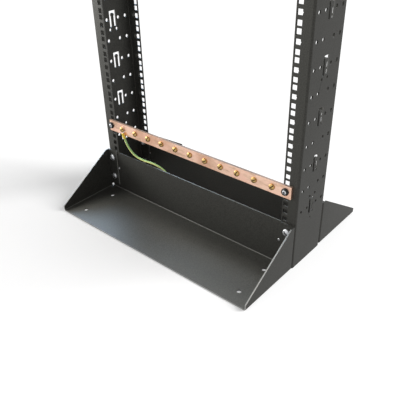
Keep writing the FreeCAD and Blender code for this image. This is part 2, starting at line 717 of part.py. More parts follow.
# Points of the earth lead between its two sleeves, over the front tray's wall and down behind it.
# They are offsets from the first terminal, the posts' front and the wall's top, for the drawn span.
LEAD_ROUTE = [(13.2, -8.5, 38.0), (19.5, -7.5, 26.5), (34.0, -5.5, 12.0), (57.0, -2.0, 6.3),
              (80.0, 3.0, 5.5), (95.0, 7.5, 0.0), (110.5, 11.5, -9.0), (124.0, 9.0, -19.5)]
DRAWN_SPAN = 156.0
BEND_SHARE = 0.45


def lead_points():
    last = "sizes.ring_neck_reach + sizes.sleeve_length"
    stub = f"{last} + 3 * sizes.wire_diameter"
    first, final = [[number(formula) for formula in lead_end(last, end)] for end in (-1, 1)]
    before_final = [number(formula) for formula in lead_end(stub, 1)]
    base = (FIRST_TERMINAL, f"-{HALF_DEPTH}", "sizes.tray_wall")
    corner = FreeCAD.Vector(*[number(formula) for formula in base])
    stretch = number("sizes.lead_span") / DRAWN_SPAN
    chosen = [corner + FreeCAD.Vector(*offset) * stretch for offset in LEAD_ROUTE]
    return [FreeCAD.Vector(*first)] + chosen + [FreeCAD.Vector(*before_final), FreeCAD.Vector(*final)]


def rounded_path(points):
    """Straight runs joined by tangent arcs, each as large as its two runs allow."""
    edges = []
    start = points[0]
    for before, corner, after in zip(points, points[1:], points[2:]):
        inward = (corner - before).normalize()
        outward = (after - corner).normalize()
        turn = inward.getAngle(outward)
        trim = BEND_SHARE * min((corner - before).Length, (after - corner).Length)
        radius = trim / math.tan(turn / 2)
        entry = corner - inward * trim
        leave = corner + outward * trim
        to_centre = (outward - inward).normalize()
        middle = corner + to_centre * (radius / math.cos(turn / 2) - radius)
        edges.append(Part.LineSegment(start, entry).toShape())
        edges.append(Part.Arc(entry, middle, leave).toShape())
        start = leave
        print(f"bend of {math.degrees(turn):.0f} degrees, radius {radius:.1f} mm")
    edges.append(Part.LineSegment(start, points[-1]).toShape())
    return Part.Wire(edges)


def make_wire(label):
    points = lead_points()
    path = rounded_path(points)
    radius = number("sizes.wire_diameter / 2")
    section = Part.Wire([Part.Circle(points[0], points[1] - points[0], radius).toShape()])
    tube = path.makePipeShell([section], True, True)
    wanted = math.pi * radius ** 2 * path.Length
    print(f"wire {path.Length:.1f} mm long, volume {tube.Volume:.0f} of {wanted:.0f} mm3")
    if abs(tube.Volume / wanted - 1) > 0.01:
        raise RuntimeError("the wire's volume does not fit its length")
    piece = doc.addObject("Part::Feature", label)
    piece.Label = label
    piece.Shape = tube
    return piece


def make_earth_lead():
    shank = "sizes.stud_diameter / 2"
    stud = turned("earth_stud", [("0", "0"), (shank, "0"), (shank, "sizes.stud_length"),
                                 ("0", "sizes.stud_length")])
    facing(stud, STUD_ACROSS, f"-{HALF_DEPTH}", STUD_HEIGHT, 1)
    stud_nut = nut("earth_stud_nut", STUD_ACROSS, f"-{HALF_DEPTH} + sizes.ring_thickness",
                   STUD_HEIGHT, 1)
    pieces = [stud, stud_nut]
    for name, end, thread in (("bar", -1, "sizes.terminal_thread"), ("frame", 1, "sizes.stud_diameter")):
        pieces.append(ring_terminal(f"{name}_ring_terminal", f"({thread} + 2 * sizes.ring_hole_play)", end))
        pieces.append(lead_sleeve(f"{name}_lead_sleeve", end))
    pieces.append(make_wire("earth_wire"))
    return pieces


def all_pieces():
    left_post = make_post("left_post")
    front_tray = make_tray("front_base_tray")
    pieces = [left_post, mirrored("right_post", left_post, ACROSS)]
    pieces += [front_tray, half_turned("rear_base_tray", front_tray)]
    pieces.append(make_crosspiece("top_crosspiece"))
    pieces.append(make_bar("ground_bar"))
    for name, side in SIDES.items():
        pieces += make_bar_fixing(name, side)
    return pieces + make_terminals() + make_fixings() + make_earth_lead()


nodes = all_pieces()
doc.recompute()
for item in doc.Objects:
    if "Invalid" in item.State or "Error" in item.State:
        raise RuntimeError(f"{item.Name} did not build")
shapes = {node.Label: node.Shape for node in nodes}
for name, shape in shapes.items():
    if shape.isNull() or not shape.isValid():
        raise RuntimeError(f"{name} has no valid shape")
os.makedirs("parts", exist_ok=True)
for name, shape in shapes.items():
    shape.exportStep(f"parts/{name}.step")
    print(name, len(shape.Solids), round(shape.Volume))
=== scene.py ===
"""Looks of a two post open frame rack: powder coat, earth bar, fasteners, earth lead and a plain studio."""

import math

import bmesh
import bpy
from bpy.props import FloatProperty, FloatVectorProperty, IntProperty, PointerProperty
from mathutils import Matrix, Vector


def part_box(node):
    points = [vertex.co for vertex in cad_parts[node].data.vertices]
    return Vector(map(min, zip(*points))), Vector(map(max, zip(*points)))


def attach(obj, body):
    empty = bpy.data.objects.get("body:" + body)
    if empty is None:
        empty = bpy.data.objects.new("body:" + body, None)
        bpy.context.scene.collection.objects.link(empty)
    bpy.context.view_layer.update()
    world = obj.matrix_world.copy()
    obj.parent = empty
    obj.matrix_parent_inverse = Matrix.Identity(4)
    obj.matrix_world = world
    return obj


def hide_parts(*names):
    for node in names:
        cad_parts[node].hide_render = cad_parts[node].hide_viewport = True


bl_info = {
    "name": "Two Post Rack",
    "version": (1, 0, 0),
    "blender": (4, 5, 0),
    "location": "View3D > Sidebar > Rack",
    "description": "Dresses the open frame rack with finishes, fasteners and its earth lead",
    "category": "Object",
}

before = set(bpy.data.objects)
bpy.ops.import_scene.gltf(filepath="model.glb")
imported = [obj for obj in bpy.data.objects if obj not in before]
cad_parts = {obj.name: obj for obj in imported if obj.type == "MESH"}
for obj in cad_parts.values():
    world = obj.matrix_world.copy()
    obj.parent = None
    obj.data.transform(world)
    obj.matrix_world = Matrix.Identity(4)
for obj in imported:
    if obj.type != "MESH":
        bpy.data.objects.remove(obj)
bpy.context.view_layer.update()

BODY = "root"

# Sheet, bolts, nuts and terminal heads as the CAD has them; heads and shanks by radius, in metres
SHEET = 0.0025
SHANK = 0.003
BOLT_HEAD = 0.0075
BOLT_HEAD_HEIGHT = 0.0045
BOLT_TAIL = 0.003
NUT_FLATS = 0.010
NUT_HEIGHT = 0.005
NUT_BORE = 0.0031
TERMINAL_HEAD_HEIGHT = 0.004

# Plain lip at each end of a nut's thread, steps round a nut, and the cages' sheet, in metres
NUT_LIP = 0.0004
NUT_STEPS = 60
CAGE_SHEET = 0.0006

# Half the span between the tray rivets, their height, and the face of the wall, in metres
RIVET_SPAN = 0.225
RIVET_HEIGHT = 0.057
WALL_FACE = 0.0525

# Widest face that is a cut edge of the sheet or of the bar, and the longest way round a hole's face
SHEET_EDGE = 0.00255
BAR_EDGE = 0.0051
HOLE_FACE = 0.06

# Shares of a narrow face's outline that are creased on a cut edge and on a hole's wall, at least
EDGE_CREASE = 0.6
HOLE_CREASE = 0.15

# Angles from which an edge is rounded and below which faces join, and how near points merge
SHARP = math.radians(40)
FLAT = math.radians(0.5)
MERGE = 1e-6

# How much rounder the trays are than the posts, and the rounding of the ring terminals in metres
TRAY_SOFTNESS = 1.7
RING_EDGE = 0.00015

# Turns of a piece whose own +Z points to the front or to the rear of the rack
TO_FRONT = Matrix.Rotation(math.radians(90), 4, "X")
TO_REAR = Matrix.Rotation(math.radians(-90), 4, "X")

# Large soft lamps on the left: place, aim, size in metres, power in watts, colour
SOFT_LAMPS = {
    "low_lamp": ((-2.1, -0.9, 0.5), (0.0, 0.0, 0.3), 1.2, 46.0, (1.0, 1.0, 0.98)),
    "high_lamp": ((-1.6, -0.3, 2.0), (0.0, -0.1, 0.05), 1.2, 36.0, (1.0, 0.99, 0.96)),
    "rear_lamp": ((-0.9, 0.9, 2.1), (0.0, -0.1, 0.05), 1.0, 27.0, (1.0, 0.99, 0.96)),
    "window_lamp": ((-1.47, 0.78, 1.1), (0.0, -0.1, 0.05), 1.0, 40.0, (0.58, 0.76, 1.0)),
}

# Soft sun that throws the floor's shadow: the way to it, and its width in degrees
SUN_WAY = (0.95, 0.72, 0.85)
SUN_WIDTH = 34

# Half size of the floor, and its small drop under the trays, in metres
FLOOR_SIZE = 30.0
FLOOR_DROP = 0.0004

# Colours of the bar's blush, its smears and its dull edges
COPPER_BLUSH = (0.90, 0.56, 0.44)
COPPER_SMEAR = (0.55, 0.36, 0.24)
COPPER_EDGES = ((0.17, 0.115, 0.085), (0.30, 0.20, 0.15))

# Colour of the bloom on the wire, then how fast its yellow stripe winds round it and where it starts
VINYL_BLOOM = (0.9, 0.92, 0.7)
STRIPE_WIND = 0.22
STRIPE_START = 0.60

# Each sleeve's lean in degrees and its way down or up, then its length, its two crimps and their reach
SLEEVE_LEANS = {"bar": (24, -1), "frame": (37, 1)}
SLEEVE_LENGTH = 0.013
CRIMPS = (0.0026, 0.0098)
CRIMP_REACH = 0.0013

# Route of the earth lead from the bar's terminal, over the tray wall, to the stud, in metres
LEAD_ROUTE = [
    (-0.1874585, -0.0586, 0.1484156),
    (-0.1828, -0.0585, 0.1380),
    (-0.1765, -0.0575, 0.1265),
    (-0.1620, -0.0555, 0.1120),
    (-0.1390, -0.0520, 0.1063),
    (-0.1160, -0.0470, 0.1055),
    (-0.1010, -0.0425, 0.1000),
    (-0.0855, -0.0385, 0.0910),
    (-0.0720, -0.0410, 0.0805),
    (-0.0607626, -0.0464, 0.0735529),
    (-0.0526382, -0.0464, 0.0627714),
]


# Sizes and colours that a user may change

def colour_property(name, description, default):
    return FloatVectorProperty(name=name, description=description, subtype="COLOR", size=3,
                               min=0.0, max=1.0, default=default)


def length_property(name, description, default):
    return FloatProperty(name=name, description=description, subtype="DISTANCE", unit="LENGTH",
                         precision=5, min=0.0, default=default)


def share_property(name, description, default):
    return FloatProperty(name=name, description=description, subtype="FACTOR", min=0.0, max=1.0,
                         default=default)


class CoatSettings(bpy.types.PropertyGroup):
    """Powder coat of the posts, trays and crosspiece"""

    colour: colour_property("Coat colour", "Charcoal black of the powder coat", (0.0325, 0.0322, 0.0290))
    # Edge colour is a painted highlight on cut edges, bevels and upward slopes
    edge_highlight_colour: colour_property("Edge colour", "Paler coat on the cut edges", (0.40, 0.40, 0.385))
    roughness: share_property("Roughness", "Middle roughness of the satin coat", 0.50)
    gloss: share_property("Gloss", "Specular level of the coat", 0.30)
    grain: length_property("Grain", "Width of one grain of the fine texture", 0.0009)
    grain_depth: length_property("Grain depth", "Depth of the fine texture", 0.00010)
    edge_radius: length_property("Edge radius", "Rounding of the coated edges", 0.00035)


class MetalSettings(bpy.types.PropertyGroup):
    """Bare and plated metals"""

    copper: colour_property("Copper", "Pale drawn copper of the earth bar", (0.90, 0.61, 0.465))
    copper_dark: colour_property("Copper tarnish", "Darker patches on the earth bar", (0.66, 0.38, 0.26))
    brass: colour_property("Brass", "Turned brass of the terminal screws", (0.50, 0.335, 0.135))
    zinc: colour_property("Zinc", "Bright zinc plate of bolts and nuts", (0.62, 0.63, 0.65))
    tin: colour_property("Tin", "Tin plate of the ring terminals", (0.70, 0.69, 0.66))
    spring: colour_property("Spring steel", "Grey steel of the cages", (0.42, 0.42, 0.43))
    bar_edge: length_property("Bar edge", "Rounding of the drawn bar's edges", 0.0005)


class PlasticSettings(bpy.types.PropertyGroup):
    """Cup washers, sleeves and the wire's insulation"""

    black: colour_property("Black plastic", "Cup washers under the bar screws", (0.010, 0.009, 0.008))
    sleeve: colour_property("Sleeve yellow", "Vinyl sleeves of the ring terminals", (0.90, 0.66, 0.05))
    green: colour_property("Wire green", "Green of the earth wire", (0.27, 0.53, 0.14))
    yellow: colour_property("Wire yellow", "Yellow of the earth wire", (0.88, 0.88, 0.30))
    wire_diameter: length_property("Wire diameter", "Outside diameter of the earth wire", 0.0045)
    lead_length: length_property("Wire length", "Length of the wire between its sleeves", 0.171)


class FastenerSettings(bpy.types.PropertyGroup):
    """Screws, bolts and nuts"""

    steps: IntProperty(name="Steps", description="Steps round a turned piece", min=12, max=96, default=40)
    pitch: length_property("Pitch", "Thread pitch of the screws and bolts", 0.001)
    slot_width: length_property("Slot width", "Width of a screwdriver slot", 0.0016)
    cross_width: length_property("Cross width", "Width of one arm of a cross recess", 0.0013)


class StudioSettings(bpy.types.PropertyGroup):
    """Camera, floor and light"""

    focal_length: FloatProperty(name="Focal length", description="Lens of the camera in millimetres",
                                default=48.45, min=10.0, max=200.0)
    eye: FloatVectorProperty(name="Eye", description="Place of the camera", subtype="TRANSLATION",
                             unit="LENGTH", size=3, default=(0.659477, -0.771008, 0.673906))
    turn: FloatProperty(name="Turn", description="Turn of the camera round the rack", subtype="ANGLE",
                        default=math.radians(41.35))
    rise: FloatProperty(name="Rise", description="Angle of the camera above the horizon", subtype="ANGLE",
                        default=math.radians(32.342))
    roll: FloatProperty(name="Roll", description="Roll of the camera", subtype="ANGLE",
                        default=math.radians(-1.434))
    floor_colour: colour_property("Floor", "Pale floor", (0.80, 0.80, 0.80))
    floor_glow: FloatProperty(name="Floor glow", description="White that the camera adds to the floor",
                              min=0.0, max=1.0, default=0.27)
    sky: FloatProperty(name="Sky", description="Strength of the even light from all sides",
                       min=0.0, max=2.0, default=0.45)
    sun: FloatProperty(name="Sun", min=0.0, max=10.0, default=3.3,
                       description="Strength of the soft sun that lights the floor from the right")
    lamps: FloatProperty(name="Lamps", description="Level of the large soft lamps on the left",
                         min=0.0, max=4.0, default=1.0)


GROUPS = {"rack_coat": CoatSettings, "rack_metal": MetalSettings, "rack_plastic": PlasticSettings,
          "rack_fastener": FastenerSettings, "rack_studio": StudioSettings}


# Shader sums written as Python expressions

class Value:
    """Output of a shader node that takes part in sums and products."""

    def __init__(self, board, socket):
        self.board = board
        self.socket = socket

    def __add__(self, other):
        return self.board.maths("ADD", self, other)

    def __radd__(self, other):
        return self.board.maths("ADD", other, self)

    def __sub__(self, other):
        return self.board.maths("SUBTRACT", self, other)

    def __rsub__(self, other):
        return self.board.maths("SUBTRACT", other, self)

    def __mul__(self, other):
        return self.board.maths("MULTIPLY", self, other)

    def __rmul__(self, other):
        return self.board.maths("MULTIPLY", other, self)

    def beside(self, out):
        """Another output of the same node."""
        return Value(self.board, self.socket.node.outputs[out])


class Board:
    """A node tree, and the ways to add nodes to it."""

    def __init__(self, tree):
        self.tree = tree

    def node(self, kind, settings=None, sockets=None, out=0):
        """Add a node, set it, and feed its sockets with numbers or with other nodes' values."""
        made = self.tree.nodes.new(kind)
        for name, value in (settings or {}).items():
            if name == "stops":
                self.set_stops(made.color_ramp, value)
            else:
                setattr(made, name, value)
        for key, value in (sockets or {}).items():
            self.feed(made.inputs[key], value)
        return Value(self, made.outputs[out])

    def set_stops(self, ramp, stops):
        while len(ramp.elements) < len(stops):
            ramp.elements.new(1.0)
        for element, (place, level) in zip(ramp.elements, stops):
            element.position = place
            element.color = (level, level, level, 1.0)

    def feed(self, socket, value):
        if isinstance(value, Value):
            self.tree.links.new(value.socket, socket)
        elif hasattr(value, "__len__") and len(socket.default_value) == 4:
            socket.default_value = (*value[:3], 1.0)
        else:
            socket.default_value = value

    def maths(self, operation, *values):
        return self.node("ShaderNodeMath", {"operation": operation}, dict(enumerate(values)))

    def seen_directly(self):
        """One for rays from the camera and for mirrored or refracted ones, zero for soft light."""
        camera = self.node("ShaderNodeLightPath", out="Is Camera Ray")
        mirrored = camera.beside("Is Glossy Ray")
        refracted = camera.beside("Is Transmission Ray")
        return self.maths("MAXIMUM", camera, self.maths("MAXIMUM", mirrored, refracted))


class FinishBoard(Board):
    """One material and its nodes."""

    def __init__(self, name, **constants):
        self.material = bpy.data.materials.new(name)
        self.material.use_nodes = True
        super().__init__(self.material.node_tree)
        self.shader = self.tree.nodes["Principled BSDF"]
        for socket, value in constants.items():
            self.shader.inputs[socket.replace("_", " ")].default_value = value
        self.place = self.node("ShaderNodeTexCoord", out="Object")

    def noise(self, scale, detail=2.0, roughness=0.5, place=None):
        """Cloudy pattern about 0.5, with features 1 / scale metres wide."""
        sockets = {"Vector": place or self.place, "Scale": scale, "Detail": detail, "Roughness": roughness}
        return self.node("ShaderNodeTexNoise", sockets=sockets)

    def stretched(self, scale):
        return self.node("ShaderNodeMapping", sockets={"Vector": self.place, "Scale": scale})

    def painted(self, attribute):
        """Number that the mesh carries on its faces."""
        return self.node("ShaderNodeAttribute", {"attribute_name": attribute}, out="Fac")

    def ramp(self, value, *stops):
        return self.node("ShaderNodeValToRGB", {"stops": stops}, {"Fac": value})

    def mix(self, share, first, second):
        return self.node("ShaderNodeMix", {"data_type": "RGBA"}, {0: share, 6: first, 7: second}, out=2)

    def varied(self, share, colour, low, high):
        """A colour that the share takes from darker to lighter."""
        return self.mix(share, shade(colour, low), shade(colour, high))

    def bump(self, height, strength, distance):
        sockets = {"Height": height, "Strength": strength, "Distance": distance}
        return self.node("ShaderNodeBump", sockets=sockets)

    def finish(self, **links):
        for socket, value in links.items():
            self.feed(self.shader.inputs[socket.replace("_", " ")], value)
        return self.material


def shade(colour, factor):
    return tuple(min(1.0, part * factor) for part in colour)


def powder_coat():
    """Satin charcoal powder coat with a fine grain, a painted highlight on cut edges, bevels and upward
    slopes, and painted shade in holes.
    """
    wish = bpy.context.scene.rack_coat
    board = FinishBoard("powder_coat", IOR=1.5, Specular_IOR_Level=wish.gloss,
                        Specular_Tint=(1.0, 0.985, 0.90, 1.0))
    grain = board.noise(1 / wish.grain, 2.0, 0.6)
    fleck = board.noise(0.45 / wish.grain, 2.0, 0.7)
    peel = board.noise(0.22 / wish.grain, 1.0)
    cloud = board.noise(7.0, 3.0)
    rim = board.painted("rim")
    dust = board.ramp(fleck, (0.40, 0.0), (0.60, 1.0))
    speck = board.ramp(grain, (0.58, 0.0), (0.74, 0.45))
    toned = board.varied(cloud, wish.colour, 0.86, 1.14)
    dusted = board.varied(dust, wish.colour, 0.52, 1.56)
    mottled = board.mix(0.6, toned, dusted)
    specked = board.mix(speck, mottled, shade(wish.colour, 1.9))
    # Hole walls carry a tone below zero, which mixes in painted shade
    shaded = board.mix(rim * -1.0, specked, shade(wish.colour, 0.2))
    # Cut edges, bevels and upward slopes take the paler edge colour, a painted highlight
    edged = board.mix(rim * (cloud * 0.5 + 0.45), shaded, wish.edge_highlight_colour)
    rough = grain * 0.12 + fleck * 0.16 + cloud * 0.08 + (wish.roughness - 0.18)
    relief = grain + fleck * 1.2 + peel * 0.6
    return board.finish(Base_Color=edged, Roughness=rough,
                        Normal=board.bump(relief, 0.5, wish.grain_depth))


def copper():
    """Drawn copper with fine lines along the bar, faint patches of tarnish and dull edges."""
    wish = bpy.context.scene.rack_metal
    board = FinishBoard("drawn_copper")
    lines = board.noise(1.0, 2.0, 0.6, board.stretched((22.0, 1900.0, 1900.0)))
    smears = board.noise(1.0, 3.0, 0.6, board.stretched((26.0, 90.0, 110.0)))
    patch = board.noise(15.0, 4.0, 0.55)
    fine = board.noise(420.0, 2.0)
    rim = board.painted("rim")
    blush = board.ramp(board.noise(24.0, 2.0), (0.42, 0.0), (0.66, 0.7))
    tarnish = board.ramp(patch, (0.44, 0.0), (0.60, 0.9), (0.74, 0.35))
    smear = board.ramp(smears, (0.48, 0.0), (0.66, 0.75))
    wear = board.ramp(board.noise(9.0, 2.0), (0.40, 0.0), (0.60, 1.0))
    bare = board.varied(lines, wish.copper, 0.90, 1.07)
    blushed = board.mix(blush, bare, COPPER_BLUSH)
    aged = board.mix(tarnish, blushed, wish.copper_dark)
    smeared = board.mix(smear, aged, COPPER_SMEAR)
    edged = board.mix(rim, smeared, board.mix(wear, *COPPER_EDGES))
    rough = lines * 0.14 + patch * 0.16 + rim * 0.35 + 0.20
    return board.finish(Base_Color=edged, Metallic=1 - rim * 0.85, Roughness=rough,
                        Normal=board.bump(lines + fine * 0.4, 0.18, 0.00004))


def plated(name, colour, roughness, mottle):
    """Plated or turned metal with faint mottling, and dirt with painted shade in its slots."""
    board = FinishBoard(name, Metallic=1.0)
    cloud = board.noise(160.0, 3.0, 0.6)
    fine = board.noise(2600.0, 2.0)
    dirt = board.painted("dirt")
    toned = board.varied(cloud, colour, 1 - mottle, 1 + mottle)
    # Slot faces go nearly black: dirt and painted shade
    dirty_and_shaded = board.mix(dirt * 0.95, toned, shade(colour, 0.06))
    rough = cloud * 0.16 + fine * 0.08 + dirt * 0.3 + (roughness - 0.12)
    return board.finish(Base_Color=dirty_and_shaded, Roughness=rough,
                        Normal=board.bump(fine + cloud, 0.12, 0.00003))


def moulded(name, colour, roughness, gloss=0.5):
    """Moulded plastic or vinyl with a faint skin texture."""
    board = FinishBoard(name, Specular_IOR_Level=gloss)
    cloud = board.noise(240.0, 3.0)
    skin = board.noise(3200.0, 2.0)
    toned = board.varied(cloud, colour, 0.88, 1.1)
    rough = skin * 0.12 + cloud * 0.1 + (roughness - 0.11)
    return board.finish(Base_Color=toned, Roughness=rough,
                        Normal=board.bump(skin + cloud * 0.5, 0.15, 0.00004))


def wire_skin():
    """Vinyl with a yellow stripe that winds slowly round green insulation."""
    wish = bpy.context.scene.rack_plastic
    board = FinishBoard("striped_vinyl", Specular_IOR_Level=0.5)
    skin = board.node("ShaderNodeTexCoord", out="UV")
    along = board.node("ShaderNodeSeparateXYZ", sockets={0: skin}, out="X")
    around = along.beside("Y")
    turned = board.maths("FRACT", around + along * STRIPE_WIND + STRIPE_START)
    stripe = board.ramp(turned, (0.0, 0.0), (0.03, 1.0), (0.58, 1.0), (0.61, 0.0))
    soft = board.noise(900.0, 2.0)
    striped = board.mix(stripe, wish.green, wish.yellow)
    toned = board.mix(soft * 0.16, striped, VINYL_BLOOM)
    return board.finish(Base_Color=toned, Roughness=soft * 0.14 + 0.26,
                        Normal=board.bump(soft, 0.12, 0.00004))


def finish_named(name):
    """The named finish, made once."""
    ready = bpy.data.materials.get(name)
    if ready:
        return ready
    metal = bpy.context.scene.rack_metal
    plastic = bpy.context.scene.rack_plastic
    makers = {
        "powder_coat": powder_coat,
        "drawn_copper": copper,
        "turned_brass": lambda: plated(name, metal.brass, 0.41, 0.28),
        "zinc_plate": lambda: plated(name, metal.zinc, 0.46, 0.10),
        # Zinc of the bar screws is darkened by 15%, painted shade that dims their reflections
        "dimmed_zinc": lambda: plated(name, shade(metal.zinc, 0.85), 0.44, 0.14),
        "tin_plate": lambda: plated(name, metal.tin, 0.32, 0.06),
        "spring_steel": lambda: plated(name, metal.spring, 0.40, 0.08),
        "black_moulding": lambda: moulded(name, plastic.black, 0.42, 0.3),
        "yellow_vinyl": lambda: moulded(name, plastic.sleeve, 0.34),
        "striped_vinyl": wire_skin,
    }
    return makers[name]()


# Mesh helpers

def lathe(profile, steps, ring=False):
    """Shape turned about +Z from (radius, height) points; a ring's profile closes on itself."""
    shape = bmesh.new()
    points = [shape.verts.new((radius, 0.0, height)) for radius, height in profile]
    edges = [shape.edges.new(pair) for pair in zip(points, points[1:])]
    if ring:
        edges.append(shape.edges.new((points[-1], points[0])))
    bmesh.ops.spin(shape, geom=points + edges, cent=(0, 0, 0), axis=(0, 0, 1), angle=math.tau,
                   steps=steps, use_merge=True, use_duplicate=False)
    bmesh.ops.remove_doubles(shape, verts=shape.verts, dist=MERGE)
    bmesh.ops.recalc_face_normals(shape, faces=shape.faces)
    return shape


def rounded_block(size, bend, segments):
    """Block about the origin with rounded edges."""
    shape = bmesh.new()
    bmesh.ops.create_cube(shape, size=1.0)
    bmesh.ops.scale(shape, vec=size, verts=shape.verts)
    bmesh.ops.bevel(shape, geom=shape.edges[:], offset=bend, segments=segments, profile=0.5,
                    affect="EDGES", material=-1)
    return shape


def arc(radius, height, bend, start, end, count):
    """Points of a round corner of a profile, about (radius, height)."""
    angles = [math.radians(start + (end - start) * index / count) for index in range(count + 1)]
    return [(radius + bend * math.cos(angle), height + bend * math.sin(angle)) for angle in angles]


def thread(radius, low, high, pitch, depth=0.55):
    """Grooved stretch of a profile from low to high, with the thread's root inside its crest."""
    root = radius - pitch * depth
    count = max(1, int((high - low) / pitch))
    points = []
    for index in range(count):
        base = low + index * pitch
        points += [(root, base), (radius, base + pitch * 0.4), (radius, base + pitch * 0.6)]
    return points + [(root, low + count * pitch), (radius, low + count * pitch)]


def cut_slot(shape, width, floor, reach, turn):
    """Press a slot, or one arm of a cross, down to the floor in the top of a head."""
    spin = Matrix.Rotation(turn, 4, "Z")
    shape.transform(spin.inverted())
    half, lip = width / 2, width * 0.05
    planes = [((side * place, 0, 0), (1, 0, 0)) for side in (-1, 1) for place in (half, half + lip)]
    planes += [((0, side * place, 0), (0, 1, 0)) for side in (-1, 1) for place in (reach, reach + lip)]
    bmesh.ops.bisect_plane(shape, geom=shape.verts[:] + shape.edges[:] + shape.faces[:], dist=1e-7,
                           plane_co=(0, 0, floor), plane_no=(0, 0, 1))
    for point, normal in planes:
        high = [face for face in shape.faces if face.calc_center_median().z > floor]
        edges = {edge for face in high for edge in face.edges}
        points = {vert for face in high for vert in face.verts}
        bmesh.ops.bisect_plane(shape, geom=list(points) + list(edges) + high, dist=1e-7,
                               plane_co=point, plane_no=normal)
    for vert in shape.verts:
        inside = abs(vert.co.x) < half + lip / 2 and abs(vert.co.y) < reach + lip / 2
        if inside and vert.co.z > floor:
            vert.co.z = floor
    bmesh.ops.remove_doubles(shape, verts=shape.verts, dist=MERGE)
    # Faces of the slot are marked for dirt and painted shade, which the finish darkens nearly to black
    dirt = shape.faces.layers.float.get("dirt") or shape.faces.layers.float.new("dirt")
    for face in shape.faces:
        middle = face.calc_center_median()
        inside = abs(middle.x) < half + lip and abs(middle.y) < reach + lip
        if inside and middle.z > floor - MERGE:
            face[dirt] = 1.0
    shape.transform(spin)


def seat(across, depth, up, facing):
    """Place of a shape whose own seat is at zero."""
    return Matrix.Translation((across, depth, up)) @ facing


def placed(shape, place):
    shape.transform(place)
    return shape


def add_shape(target, shape, place):
    """Join a shape into another one at its place."""
    mesh = bpy.data.meshes.new("part")
    placed(shape, place).to_mesh(mesh)
    shape.free()
    target.from_mesh(mesh)
    bpy.data.meshes.remove(mesh)


def add_piece(name, shape, finish, nodes, smooth=30.0):
    """Make an object of the shape that rides on the rack and stands for its CAD nodes."""
    mesh = bpy.data.meshes.new(name)
    shape.to_mesh(mesh)
    shape.free()
    mesh.materials.append(finish_named(finish))
    mesh.shade_smooth()
    if smooth:
        mesh.set_sharp_from_angle(angle=math.radians(smooth))
    piece = bpy.data.objects.new(name, mesh)
    bpy.context.scene.collection.objects.link(piece)
    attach(piece, BODY)
    if nodes:
        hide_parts(*nodes)
    return piece


def softened(node, name, finish, radius, segments=1, edge_width=SHEET_EDGE, edge_tone=1.0,
             bevel_tone=0.15, hole_shade=0.0):
    """Copy of a CAD node with its sharp edges rounded and its cut edges and holes marked; in the powder
    coat the marks are a painted highlight on edges, bevels and upward slopes, and painted shade in holes.
    """
    shape = bmesh.new()
    shape.from_mesh(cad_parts[node].data)
    bmesh.ops.remove_doubles(shape, verts=shape.verts, dist=MERGE)
    bmesh.ops.dissolve_limit(shape, angle_limit=FLAT, verts=shape.verts, edges=shape.edges)
    rim = shape.faces.layers.float.new("rim")
    sharp = [edge for edge in shape.edges if edge.is_manifold and edge.calc_face_angle() > SHARP]
    corners = set(sharp)
    for face in shape.faces:
        around = face.calc_perimeter()
        if face.calc_area() * 2 > around * edge_width:
            continue
        creased = sum(edge.calc_length() for edge in face.edges if edge in corners)
        # Narrow faces that slope upward get a third of the edge tone, which the coat shows as a painted
        # highlight
        sloped = face.normal.z > 0.5 and max(abs(face.normal.x), abs(face.normal.y)) > 0.5
        # Walls of holes take the hole shade tone, which is painted shade where it is below zero
        if around < HOLE_FACE:
            face[rim] = hole_shade if creased > around * HOLE_CREASE else 0.0
        elif creased > around * EDGE_CREASE:
            face[rim] = edge_tone
        elif sloped:
            face[rim] = edge_tone * 0.33
    made = bmesh.ops.bevel(shape, geom=sharp, offset=radius, offset_type="OFFSET", segments=segments,
                           profile=0.5, affect="EDGES", clamp_overlap=True, material=-1)
    for face in made["faces"]:
        face[rim] = max(face[rim], bevel_tone)
    piece = add_piece(name, shape, finish, [node], smooth=0)
    even = piece.modifiers.new("even_normals", "WEIGHTED_NORMAL")
    even.mode = "FACE_AREA"
    even.weight = 90
    even.keep_sharp = True
    return piece


# Screws, bolts and nuts, each made about +Z with its seat at zero

def screw_shape(head, height, length, pitch, dome=0.25):
    """Pan head with a rounded rim on a threaded shank."""
    bend = height * 0.42
    top = height * (1 - dome)
    tip = SHANK * 0.72
    start = -length + (SHANK - tip)
    profile = [(0, -length), (tip, -length), (SHANK, start)] + thread(SHANK, start, -pitch, pitch)
    profile += [(SHANK, 0), (head * 0.96, 0), (head, height * 0.06)]
    profile += arc(head - bend, top - bend, bend, 0, 75, 6)
    profile += [(head * 0.55, top + height * dome * 0.55), (head * 0.28, top + height * dome * 0.88)]
    return lathe(profile + [(0, height)], bpy.context.scene.rack_fastener.steps)


def nut_shape(pitch):
    """Hexagon nut with chamfered corners and a threaded bore."""
    inscribed = NUT_FLATS / 2
    chamfer = inscribed * 0.95
    mouth = NUT_BORE + NUT_LIP
    bore = thread(NUT_BORE + pitch * 0.3, NUT_LIP, NUT_HEIGHT - NUT_LIP, pitch)
    profile = [(mouth, 0), (chamfer, 0), (inscribed, 0)]
    profile += [(radius, NUT_HEIGHT) for radius in (inscribed, chamfer, mouth)]
    shape = lathe(profile + bore[::-1], NUT_STEPS, ring=True)
    for vert in shape.verts:
        out = math.hypot(vert.co.x, vert.co.y)
        if out > inscribed * 0.99:
            angle = math.atan2(vert.co.y, vert.co.x)
            off = (angle + math.tau) % (math.tau / 6) - math.tau / 12
            corner = inscribed / math.cos(off)
            drop = (corner - chamfer) * math.tan(math.radians(30))
            vert.co.x *= corner / out
            vert.co.y *= corner / out
            vert.co.z = drop if vert.co.z < NUT_HEIGHT / 2 else NUT_HEIGHT - drop
    return shape


